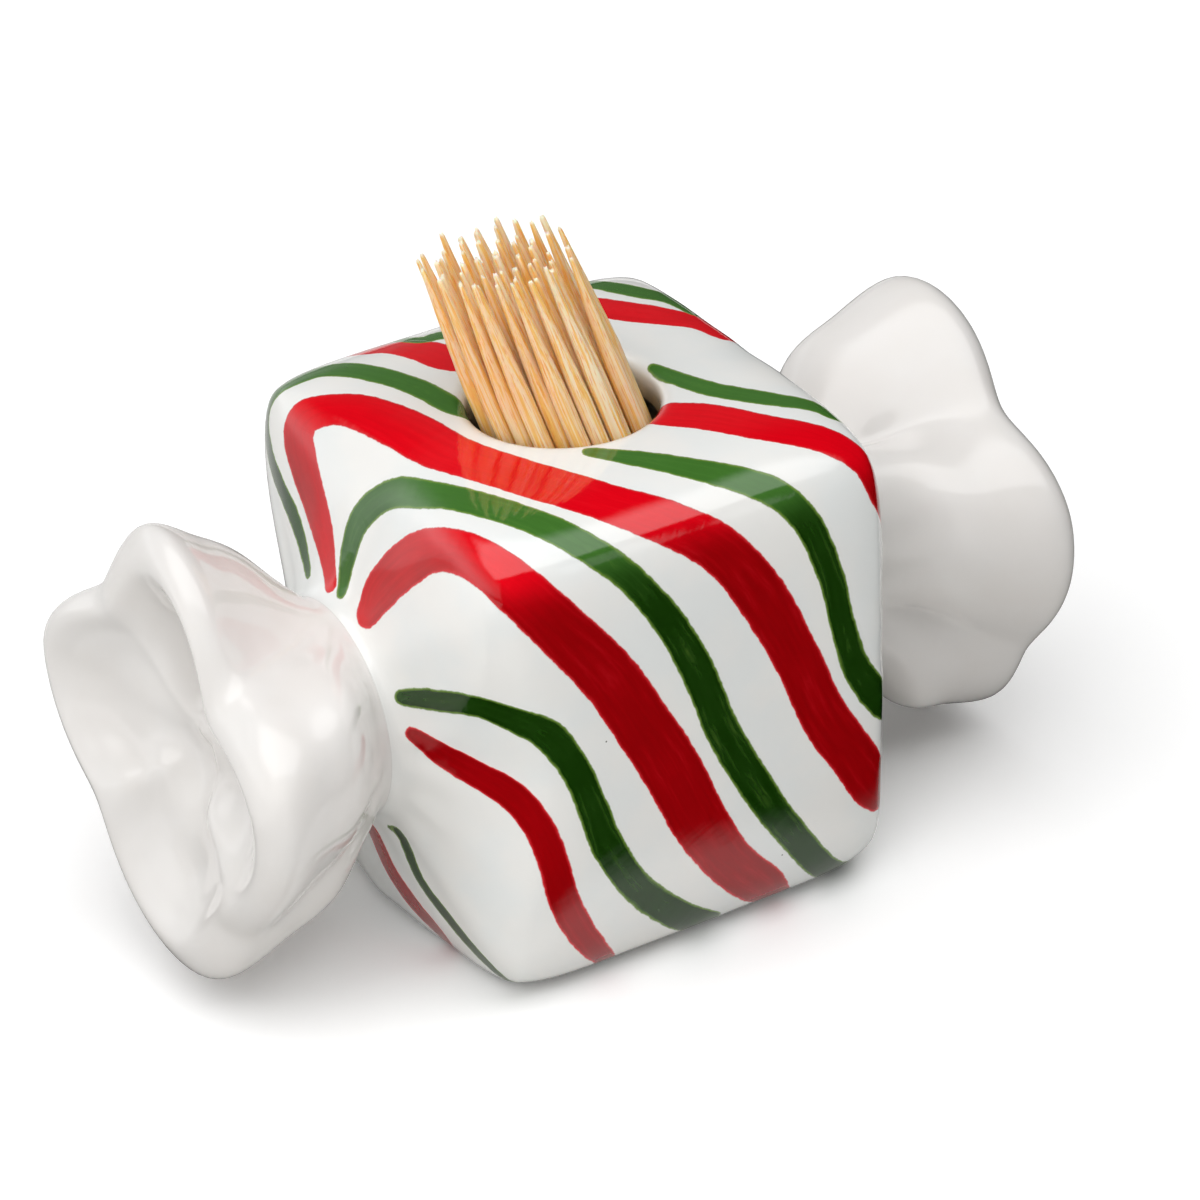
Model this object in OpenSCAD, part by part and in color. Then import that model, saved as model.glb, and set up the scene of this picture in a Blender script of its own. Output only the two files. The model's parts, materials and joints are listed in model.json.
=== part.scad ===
// Wrapped-candy toothpick holder: a hollow glazed body, two wrapper twists and a bundle of toothpicks.
// X runs along the candy, the front faces -Y, Z is up, and the origin is the centre of the base.

/* [Body] */
// Length of the body between its two end faces
body_l = 49.2; // [46:0.2:56]
// Width of the body, front to back
body_w = 49; // [46:0.2:56]
// Height of the body standing on its base
body_h = 50.4; // [48:0.2:56]
// Thickness of the body's walls and ceiling
wall = 3.4; // [2.6:0.1:4.2]
// Thickness of the body's floor, where the slip settles
floor_t = 3.8; // [3.2:0.1:6]
// How far the base is ground flat
base_trim = 0.25; // [0.1:0.05:0.6]
// How far the gathered left shoulder is drawn in towards the middle
left_draw = 3.4; // [0:0.1:4]

/* [Mouth] */
// Diameter of the mouth
mouth_d = 18.5; // [17:0.1:22]
// Radius of the mouth's rounded lip
mouth_lip = 1.1; // [0.4:0.1:1.6]

/* [Necks] */
// Diameter of the neck between the body and a twist
neck_d = 21.6; // [18:0.2:26]
// How far a neck stands out from the end face
neck_out = 2.2; // [1.4:0.1:4]
// Diameter of the vent through a neck
vent_d = 8; // [5:0.1:9]
// Straight depth of the vent's hollow in a twist
vent_depth = 3; // [1:0.1:4]

/* [Twists] */
// Length of a twist from its neck to its furthest fold
twist_l = 21.2; // [18:0.2:26]
// Largest radius of a twist's rim
twist_r = 23.2; // [20:0.2:24.4]
// Width of the rolled lip
twist_lip = 4; // [3:0.1:5]
// Depth of the hollow inside the largest fold
fold_depth = 6.4; // [4:0.1:8]
// Distance from a neck to the bottom of the dish
dish_x = 13.2; // [10:0.1:14]
// Turn of the folds from the neck to the rim, in degrees
fold_turn = 34; // [0:1:40]

/* [Toothpicks] */
// Length of a toothpick
pick_l = 65; // [60:0.5:70]
// Diameter of a toothpick's shank
pick_d = 1.6; // [1.3:0.05:1.8]
// Diameter of the blunt point
pick_tip_d = 0.55; // [0.4:0.05:0.8]
// Length of the tapered point
pick_taper = 13; // [8:0.5:18]
// Chamfer round the foot
pick_chamfer = 0.25; // [0.1:0.05:0.4]
// Clearance between two toothpicks
pick_gap = 0.3; // [0.2:0.05:0.6]
// Clearance between the toothpicks and the body
seat_gap = 0.35; // [0.25:0.05:0.6]

/* [Hidden] */
// The most toothpicks that the bundle may have
most_picks = 57;
// Where the bundle's middle stands on the floor, right and front, of the cavity's half length and width
stand_shares = [0.5648, 0.4624];
// Shift of the toothpicks' grid from the middle of the mouth, of a pitch
grid_shift_shares = [0.4, 0.8];
// Power of the body's and the cavity's sections, as a share of a circle's 2
square_share = 3.6;
// Where the shoulder curve starts, and its two handles, of half the body's length
shoulder_share = 0.8;
handle_shares = [0.146, 0.106];
// Draw of the left shoulder at its back, top, front and underside, where below 0 it swells
draw_shares = [1.1, 0.7, 0.9, -0.5];
// Where the draw starts, of the way to the neck, and the power that moves its middle towards the neck
draw_start_share = 0.3;
draw_skew = 1.5;
// How much of the left draw the cavity's left end follows
cavity_draw_share = 0.5;
// Where the cavity's end rounding stops, of a quarter turn
cavity_end_share = 0.955;
// Overrun of every cut
cut = 1;

// Folds of each twist: lobes and pinches by turns, anticlockwise from the back as seen from +X
left_fold_angles = [10, 46, 80, 133, 172, 224, 257, 322];
left_fold_r_shares = [1.015, 0.83, 0.975, 0.625, 0.95, 0.81, 0.93, 0.655];
left_fold_x_shares = [0.953, 0.835, 0.774, 0.788, 0.858, 0.906, 0.972, 1];
left_fold_depth_shares = [0.5, 0.25, 0.9, 0.25, 0.75, 0.25, 0.5, 0.5];
left_fold_fullness_shares = [0.55, 0.45, 0.55, 0.35, 0.68, 0.5, 0.6, 0.4];
right_fold_angles = [8, 35, 72, 127, 170, 223, 262, 320];
right_fold_r_shares = [0.86, 0.73, 0.975, 0.74, 0.93, 0.8, 0.965, 0.69];
right_fold_x_shares = [0.906, 0.86, 0.976, 0.906, 0.934, 0.93, 0.943, 0.86];
right_fold_depth_shares = [0.5, 0.25, 0.875, 0.25, 0.75, 0.25, 0.625, 0.25];
right_fold_fullness_shares = [0.6, 0.4, 0.64, 0.28, 0.7, 0.45, 0.74, 0.4];
// Softness of a pinch at the rim, and of its crease on the back and in the dish, where 0 is sharp
rim_crease_share = 0.26;
face_crease_share = 0.1;
// Back of a twist: three stations of its reach between the neck and the lip
back_x_shares = [0.14, 0.34, 0.58];
// Rolled lip: how far three points lie behind and inside the rim, of the lip's width
lip_x_shares = [0.6, 0, 0.4];
lip_r_shares = [0.03, 0.75, 1.6];
// Dish: depth and radius of its rings, of the fold's depth and of the lip's inner radius
dish_depth_shares = [0.6, 1];
dish_r_shares = [0.76, 0.46, 0.2];
// How much the dish's rings even out towards its middle
calm_share = 0.3;
// Radius at which the dish's middle is flat, of the way in along the last stretch
dish_end_share = 0.8;

// Facets
ring_sides = 56;
cavity_sides = 40;
twist_sides = 72;
crown_steps = 6;
shoulder_steps = 7;
cavity_steps = 16;
lip_steps = 6;
$fn = 48;

// Derived sizes
half_l = body_l / 2;
half_w = body_w / 2;
half_h = (body_h + base_trim) / 2;
mid_z = half_h - base_trim;
neck_x = half_l + neck_out;
neck_r = neck_d / 2;
mouth_r = mouth_d / 2;
pick_r = pick_d / 2;
cavity_l = half_l - wall;
cavity_w = half_w - wall;
cavity_top = body_h - wall;
cavity_h = (cavity_top - floor_t) / 2;
cavity_z = floor_t + cavity_h;
cavity_left = cavity_l - cavity_draw_share * left_draw;
lip_z = body_h - (wall + mouth_lip) / 2;
// Run of a toothpick to the right and to the back, for each unit that it rises
lean = [-stand_shares[0] * cavity_l, stand_shares[1] * cavity_w] / (lip_z - floor_t);
rise = 1 / norm([lean[0], lean[1], 1]);
tilt = acos(rise);

// Section of the body: a circle at power 2 that squares up as the power grows
function square_point(a, b, power, t) =
    let (c = cos(t), s = sin(t), r = pow(pow(abs(c), power) + pow(abs(s), power), -1 / power))
    [a * r * c, b * r * s];
// Angles round a section, closest together at its four corners
function corner_angle(i, sides) =
    let (quarter = sides / 4, q = floor(i / quarter), u = (i - q * quarter) / quarter * 2 - 1)
    90 * q + 45 * (1 + u * abs(u));

// Outer profile of half the body as rows of [x, share of the width and height, share of the neck]
function crown_scale(u, power) = pow(1 - pow(u, power), 1 / power);
crown_rows = [for (i = [0 : crown_steps])
    let (u = shoulder_share * sin(90 * i / crown_steps)) [half_l * u, crown_scale(u, 2 * square_share), 0]];
shoulder_slope = -pow(shoulder_share, 2 * square_share - 1)
    * pow(crown_scale(shoulder_share, 2 * square_share), 1 - 2 * square_share);
shoulder_rows = [for (i = [1 : shoulder_steps])
    let (t = i / shoulder_steps, f0 = crown_scale(shoulder_share, 2 * square_share),
        a = pow(1 - t, 3), b = 3 * t * pow(1 - t, 2), c = 3 * t * t * (1 - t), d = t * t * t)
    [half_l * ((a + b) * shoulder_share + b * handle_shares[0] - c * handle_shares[1]) + (c + d) * neck_x,
        a * f0 + b * (f0 + shoulder_slope * handle_shares[0]), c + d]];
half_rows = concat(crown_rows, shoulder_rows);

// How much of the left draw a point takes, most at the middle of each side and none at the corners
function drawn_in(x, t) =
    let (g = max(0, x / neck_x - draw_start_share) / (1 - draw_start_share), side = floor((t + 45) / 90) % 4)
    draw_shares[side] * pow(sin(180 * pow(g, draw_skew)) * cos(2 * t), 2);
function body_ring(row, side) =
    let (across = row[1] * half_w + row[2] * neck_r, up = row[1] * half_h + row[2] * neck_r,
        hold = row[1] * half_w / across, power = 2 + 2 * (square_share - 1) * hold * hold)
    [for (i = [0 : ring_sides - 1])
        let (t = corner_angle(i, ring_sides), p = square_point(across, up, power, t),
            draw = side < 0 ? left_draw * drawn_in(row[0], t) : 0)
        [side * (row[0] - draw), p[0], mid_z + p[1]]];
body_rings = concat(
    [for (i = [len(half_rows) - 1 : -1 : 0]) body_ring(half_rows[i], -1)],
    [for (i = [1 : len(half_rows) - 1]) body_ring(half_rows[i], 1)]);

// Cavity: the same kind of section, closed at both ends
cavity_rings = [for (i = [0 : cavity_steps])
    let (u = sin(90 * cavity_end_share * (2 * i / cavity_steps - 1)),
        s = crown_scale(abs(u), 2 * square_share))
    [for (j = [0 : cavity_sides - 1])
        let (t = corner_angle(j, cavity_sides),
            p = square_point(s * cavity_w, s * cavity_h, 2 * square_share, t))
        [u * (u < 0 ? cavity_left : cavity_l), p[0], cavity_z + p[1]]]];
// Height of the cavity's floor below a point
function cavity_floor(x, y) =
    let (s = crown_scale(min(1, abs(x) / (x < 0 ? cavity_left : cavity_l)), 2 * square_share),
        v = min(1, abs(y) / (s * cavity_w)))
    cavity_z - s * cavity_h * crown_scale(v, 2 * square_share);

// A closed skin over rings of equally many points, flat at the first ring and at the last
module skin(rings) {
    n = len(rings[0]);
    m = len(rings);
    polyhedron(points = [for (r = rings) each r], faces = concat(
        [[for (i = [0 : n - 1]) i]],
        [for (k = [0 : m - 2], i = [0 : n - 1]) [k * n + i, (k + 1) * n + i, k * n + (i + 1) % n]],
        [for (k = [0 : m - 2], i = [0 : n - 1])
            [(k + 1) * n + i, (k + 1) * n + (i + 1) % n, k * n + (i + 1) % n]],
        [[for (i = [n - 1 : -1 : 0]) (m - 1) * n + i]]), convexity = 6);
}

// Value round a twist: rounded at the lobes (even entries), creased at the pinches (odd entries)
function fold_at(t, angles, values, crease) =
    let (n = len(angles), turn = t < angles[0] ? t + 360 : t,
        k = max([for (i = [0 : n - 1]) turn >= angles[i] ? i : -1]), next = (k + 1) % n,
        span = angles[next] + (next == 0 ? 360 : 0) - angles[k], q = (turn - angles[k]) / span,
        away = k % 2 == 0 ? 1 - q : q,
        soft = (sqrt(away * away + crease * crease) - crease) / (sqrt(1 + crease * crease) - crease),
        lobe = k % 2 == 0 ? values[k] : values[next], pinch = k % 2 == 0 ? values[next] : values[k])
    pinch + (lobe - pinch) * sin(90 * soft);

// Smooth curve through the points of a list, at u from 0 to 1 between entries k and k + 1, that
// leaves its first point level
function curve_at(p, k, u) =
    let (n = len(p), a = k > 0 ? p[k - 1] : [2 * p[0][0] - p[1][0], p[1][1]], b = p[k], c = p[k + 1],
        d = k + 2 < n ? p[k + 2] : 2 * p[n - 1] - p[n - 2])
    (2 * b + (c - a) * u + (2 * a - 5 * b + 4 * c - d) * u * u + (3 * b - a - 3 * c + d) * u * u * u) / 2;

// Profile of a twist at one angle as [distance out from the neck plane, radius], neck to dish, and
// the number of its point on the rim
rim_point = 5;
function twist_profile(rim, reach, depth, full, mean) =
    let (flare = rim - neck_r, inner = rim - lip_r_shares[2] * twist_lip,
        mouth_x = reach - lip_x_shares[2] * twist_lip)
    [[0, neck_r],
        [back_x_shares[0] * reach, neck_r + flare * full / 2],
        [back_x_shares[1] * reach, neck_r + flare * full],
        [back_x_shares[2] * reach, neck_r + flare * (1 + full) / 2],
        [reach - lip_x_shares[0] * twist_lip, rim - lip_r_shares[0] * twist_lip],
        [reach - lip_x_shares[1] * twist_lip, rim - lip_r_shares[1] * twist_lip],
        [mouth_x, inner],
        [mouth_x - dish_depth_shares[0] * depth, dish_r_shares[0] * inner],
        [mouth_x - dish_depth_shares[1] * depth, dish_r_shares[1] * (inner + calm_share * (mean - inner))],
        [dish_x + calm_share * (twist_l - fold_depth - dish_x), dish_r_shares[2] * mean],
        [dish_x, 0]];

module twist(side, angles, r_shares, x_shares, depth_shares, full_shares) {
    mean = twist_r * (r_shares * [for (i = r_shares) 1]) / len(r_shares) - lip_r_shares[2] * twist_lip;
    profiles = [for (i = [0 : twist_sides - 1])
        let (t = 360 * i / twist_sides)
        twist_profile(twist_r * fold_at(t, angles, r_shares, rim_crease_share),
            twist_l * fold_at(t, angles, x_shares, rim_crease_share),
            fold_depth * fold_at(t, angles, depth_shares, face_crease_share),
            fold_at(t, angles, full_shares, face_crease_share), mean)];
    spans = len(profiles[0]) - 1;
    steps = [for (k = [0 : spans - 1], u = [0, 0.5]) [k, u]];
    rings = [for (s = steps) let (turn = fold_turn * max(0, 1 - (s[0] + s[1]) / rim_point))
        [for (i = [0 : twist_sides - 1])
            let (p = curve_at(profiles[i], s[0], s[1]), t = 360 * i / twist_sides - turn)
            [side * (neck_x + p[0]), p[1] * cos(t), mid_z + p[1] * sin(t)]]];
    tip = [for (i = [0 : twist_sides - 1])
        let (p = curve_at(profiles[i], spans - 1, dish_end_share), t = 360 * i / twist_sides)
        [side * (neck_x + dish_x), p[1] * cos(t), mid_z + p[1] * sin(t)]];
    closed = concat(rings, [tip]);
    difference() {
        skin(side > 0 ? closed : [for (r = closed) [for (i = [twist_sides - 1 : -1 : 0]) r[i]]]);
        translate([side * neck_x, 0, mid_z]) rotate([0, side * 90, 0]) {
            translate([0, 0, -cut]) cylinder(d = vent_d, h = vent_depth + cut);
            translate([0, 0, vent_depth]) sphere(d = vent_d);
        }
    }
}

// The mouth with its rounded lip, as a solid to cut away
module mouth() {
    rotate_extrude() polygon(concat(
        [[0, body_h - wall - mouth_r], [mouth_r, body_h - wall - mouth_r]],
        [for (i = [0 : lip_steps]) let (t = 90 * i / lip_steps)
            [mouth_r + mouth_lip * (1 - cos(t)), body_h - mouth_lip + mouth_lip * sin(t)]],
        [[mouth_r + mouth_lip, body_h + cut], [0, body_h + cut]]));
}

module candy_body() {
    color("white") difference() {
        skin(body_rings);
        skin(cavity_rings);
        mouth();
        for (side = [-1, 1]) translate([side * (half_l - 2 * wall), 0, mid_z]) rotate([0, side * 90, 0])
            cylinder(d = vent_d, h = neck_out + 2 * wall + cut);
        translate([-body_l, -body_w, -body_h]) cube([2 * body_l, 2 * body_w, body_h]);
    }
}

module left_twist() {
    color("white") twist(-1, left_fold_angles, left_fold_r_shares, left_fold_x_shares,
        left_fold_depth_shares, left_fold_fullness_shares);
}

module right_twist() {
    color("white") twist(1, right_fold_angles, right_fold_r_shares, right_fold_x_shares,
        right_fold_depth_shares, right_fold_fullness_shares);
}

// Places of the toothpicks at the middle of the mouth's bore, on a six-sided grid inside a circle
pitch = (pick_d + pick_gap) / rise;
bundle_r = mouth_r - seat_gap - pick_r / rise - (wall - mouth_lip) / 2 * tan(tilt);
grid_steps = ceil(bundle_r / pitch) + 2;
grid = [for (j = [-grid_steps : grid_steps], i = [-grid_steps : grid_steps])
    let (p = pitch * [i + j / 2 + grid_shift_shares[0], (j + grid_shift_shares[1]) * sin(60)])
    if (norm(p) <= bundle_r) p];
// The nearest to the middle, where more places fit than there may be toothpicks
ranks = [for (p = grid) len([for (q = grid) if (norm(q) < norm(p)) 1])];
places = [for (k = [0 : len(grid) - 1]) if (ranks[k] < most_picks) grid[k]];
// Foot of the toothpick through a place, just clear of the floor round it
function foot_of(p) =
    let (drop = lip_z - floor_t, x = p[0] - lean[0] * drop, y = p[1] - lean[1] * drop,
        reach = pick_r + seat_gap,
        ground = max([for (a = [-1, 0, 1], b = [-1, 0, 1]) cavity_floor(x + a * reach, y + b * reach)]),
        z = ground + seat_gap + pick_r * sin(tilt), up = z - floor_t)
    [x + lean[0] * up, y + lean[1] * up, z];
picks = [for (p = places) foot_of(p)];

pick_names = [for (i = [1 : len(picks)]) str("toothpick_", i < 10 ? "0" : "", i)];

module toothpick(foot) {
    color("burlywood") translate(foot) rotate([0, tilt, atan2(lean[1], lean[0])])
        rotate_extrude() polygon([[0, 0], [pick_r - pick_chamfer, 0], [pick_r, pick_chamfer],
            [pick_r, pick_l - pick_taper], [pick_tip_d / 2, pick_l], [0, pick_l]]);
}

candy_body();
left_twist();
right_twist();
for (i = [0 : len(picks) - 1]) toothpick(picks[i]);
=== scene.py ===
"""Looks of a toothpick holder in the form of a wrapped candy: glazed ceramic and bamboo, around the frame.

Metres, X along the candy, the front faces -Y, Z up, origin at the centre of the base.
"""
import json
import math
from typing import NamedTuple

import bpy
import numpy as np
from mathutils import Matrix, Vector
from mathutils.bvhtree import BVHTree


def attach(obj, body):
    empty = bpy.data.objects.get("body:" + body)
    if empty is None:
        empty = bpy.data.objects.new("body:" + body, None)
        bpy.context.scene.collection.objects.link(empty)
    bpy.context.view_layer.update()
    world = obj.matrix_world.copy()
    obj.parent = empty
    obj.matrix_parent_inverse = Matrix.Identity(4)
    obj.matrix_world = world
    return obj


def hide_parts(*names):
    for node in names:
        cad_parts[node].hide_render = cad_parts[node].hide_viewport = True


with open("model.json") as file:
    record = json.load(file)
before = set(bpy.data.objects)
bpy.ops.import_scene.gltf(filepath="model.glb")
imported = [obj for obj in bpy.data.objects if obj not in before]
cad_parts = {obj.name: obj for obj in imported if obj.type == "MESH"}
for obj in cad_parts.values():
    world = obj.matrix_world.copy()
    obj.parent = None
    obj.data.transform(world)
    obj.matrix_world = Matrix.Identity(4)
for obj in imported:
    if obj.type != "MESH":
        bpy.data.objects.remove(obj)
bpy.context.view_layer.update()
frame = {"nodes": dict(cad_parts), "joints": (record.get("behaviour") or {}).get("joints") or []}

MM = 0.001

# Body, as the solids have it
BODY_L = 49.2 * MM
BODY_W = 49 * MM
BODY_H = 50.4 * MM
BASE_TRIM = 0.25 * MM
WALL = 3.4 * MM
FLOOR_T = 3.8 * MM
LEFT_DRAW = 3.4 * MM
DRAW_SHARES = np.array([1.1, 0.7, 0.9, -0.5])
DRAW_START = 0.3
DRAW_SKEW = 1.5
CAVITY_DRAW = 0.5
NECK_R = 10.8 * MM
NECK_OUT = 2.2 * MM
MOUTH_R = 9.25 * MM
LIP_WIDTH = 1.5 * MM
LIP_DROP = 1.2 * MM
SQUARE = 7.2
SHOULDER = 0.8
HANDLES = (0.146, 0.106)
HALF_L = BODY_L / 2
HALF_W = BODY_W / 2
HALF_H = (BODY_H + BASE_TRIM) / 2
MID_Z = HALF_H - BASE_TRIM
NECK_X = HALF_L + NECK_OUT
BODY_CENTRE = Vector((0, 0, MID_Z))

# Fillet of slip round the necks, which only the dressed part has, highest at one angle
NECK_FILL = 0.6 * MM
NECK_FILL_AT = math.radians(160)

# Twists. The folds turn by FOLD_TURN from the neck to the rim, the dish ends DISH_X from the neck.
# Folds are [angle, radius, reach, depth, fullness], the last four as shares, lobe and pinch in turn
TWIST_L = 21.2 * MM
TWIST_R = 23.2 * MM
TWIST_LIP = 4 * MM
FOLD_DEPTH = 6.4 * MM
FOLD_TURN = math.radians(34)
DISH_X = 13.2 * MM
# Softness of the creases in the rim and in the faces
RIM_CREASE = 0.26
FACE_CREASE = 0.1
# How full the lobes are beside the pinches, and how far sharp turns are worn down
FOLD_SWELL = 0.65
FOLD_SOFTNESS = 0.5 * MM
LEFT_FOLDS = [
    [10, 1.015, 0.953, 0.5, 0.55], [46, 0.83, 0.835, 0.25, 0.45], [80, 0.975, 0.774, 0.9, 0.55],
    [133, 0.625, 0.788, 0.25, 0.28], [172, 0.95, 0.858, 0.75, 0.68], [224, 0.81, 0.906, 0.25, 0.5],
    [257, 0.93, 0.972, 0.5, 0.6], [322, 0.655, 1, 0.5, 0.4],
]
RIGHT_FOLDS = [
    [8, 0.86, 0.906, 0.5, 0.6], [35, 0.73, 0.86, 0.25, 0.4], [72, 0.975, 0.976, 0.875, 0.64],
    [127, 0.74, 0.906, 0.25, 0.02], [170, 0.93, 0.934, 0.75, 0.7], [223, 0.8, 0.93, 0.25, 0.1],
    [262, 0.965, 0.943, 0.625, 0.74], [320, 0.69, 0.86, 0.25, 0.4],
]

# Toothpicks. Their tips are worn by up to PICK_WORN, and at the right by up to PICK_SHORT more
PICK_R = 0.88 * MM
PICK_TIP_R = 0.22 * MM
PICK_TAPER = 13 * MM
PICK_WORN = 1.1 * MM
PICK_SHORT = 1.8 * MM
# Most that a tip lies off centre and that a shaft bows, and spread of the outline's roughness
PICK_DRIFT = 0.42 * MM
PICK_BOW = 0.04 * MM
PICK_ROUGHNESS = 0.008
# Lobes of the outline, as [how many, height as a share]
PICK_LOBES = ((2, 0.03), (5, 0.02))
# Ranges of what differs from pick to pick
TIP_SIZES = (0.75, 1.3)
SLIMNESS = (0.95, 1.0)
TAPER_POWERS = (0.85, 1.3)
DRIFT_SHARES = (0.2, 1)
# Bevel of the foot, start of the even shaft, and the frayed end from its last even ring on
PICK_BEVEL = 0.25 * MM
SHAFT_START = 4 * MM
PICK_END = 0.3 * MM
FRAY = 0.12 * MM
MOST_FRAY = 0.25 * MM
FRAY_RISE = 0.2 * MM
FRAY_CLOSE = 0.35
END_RISE = 0.22 * MM

# Seeds of the random draws; the twists and the toothpicks count on from theirs
BODY_WAVES, BODY_GATHERS = 5, 6
TWIST_WAVES, TWIST_GATHERS = 11, 8
FIRST_PICK = 100

# Mesh fineness
AROUND = 256
CROWN_STEPS = 48
SHOULDER_STEPS = 26
MOUTH_COLUMNS = 36
MOUTH_ROWS = 22
MOUTH_RINGS = 10
LIP_RINGS = 8
CAVITY_RINGS = 24
CAVITY_END = math.pi * 0.985
NEWTON_ROUNDS = 12
TWIST_STEPS = 9
PICK_SIDES = 16
SHAFT_RINGS = 9
TAPER_RINGS = 12
# A ring close to each joint, so that the shading runs through it
LAST_V = 1.99
JOINT_SHARE = 0.03

# Camera, from a fit to the photograph of 1200 x 1200 pixels
PHOTO = 1200
CAMERA_AZIMUTH = -30.29
CAMERA_ELEVATION = 31.61
CAMERA_ROLL = -2.3
CAMERA_DISTANCE = 0.46208
FOCAL_PIXELS = 4722
OPTICAL_CENTRE = (572.2, 621.8)
SENSOR = 36

RED = "red"
GREEN = "green"


class Stripe(NamedTuple):
    """A painted stripe, from its left end to its right end.

    What the photograph shows of it is [x, y, width] in pixels. What comes before and after that is
    [v, t in degrees, width in millimetres] on the body's skin.
    """
    colour: str
    before: tuple = ()
    seen: tuple = ()
    after: tuple = ()


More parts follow.
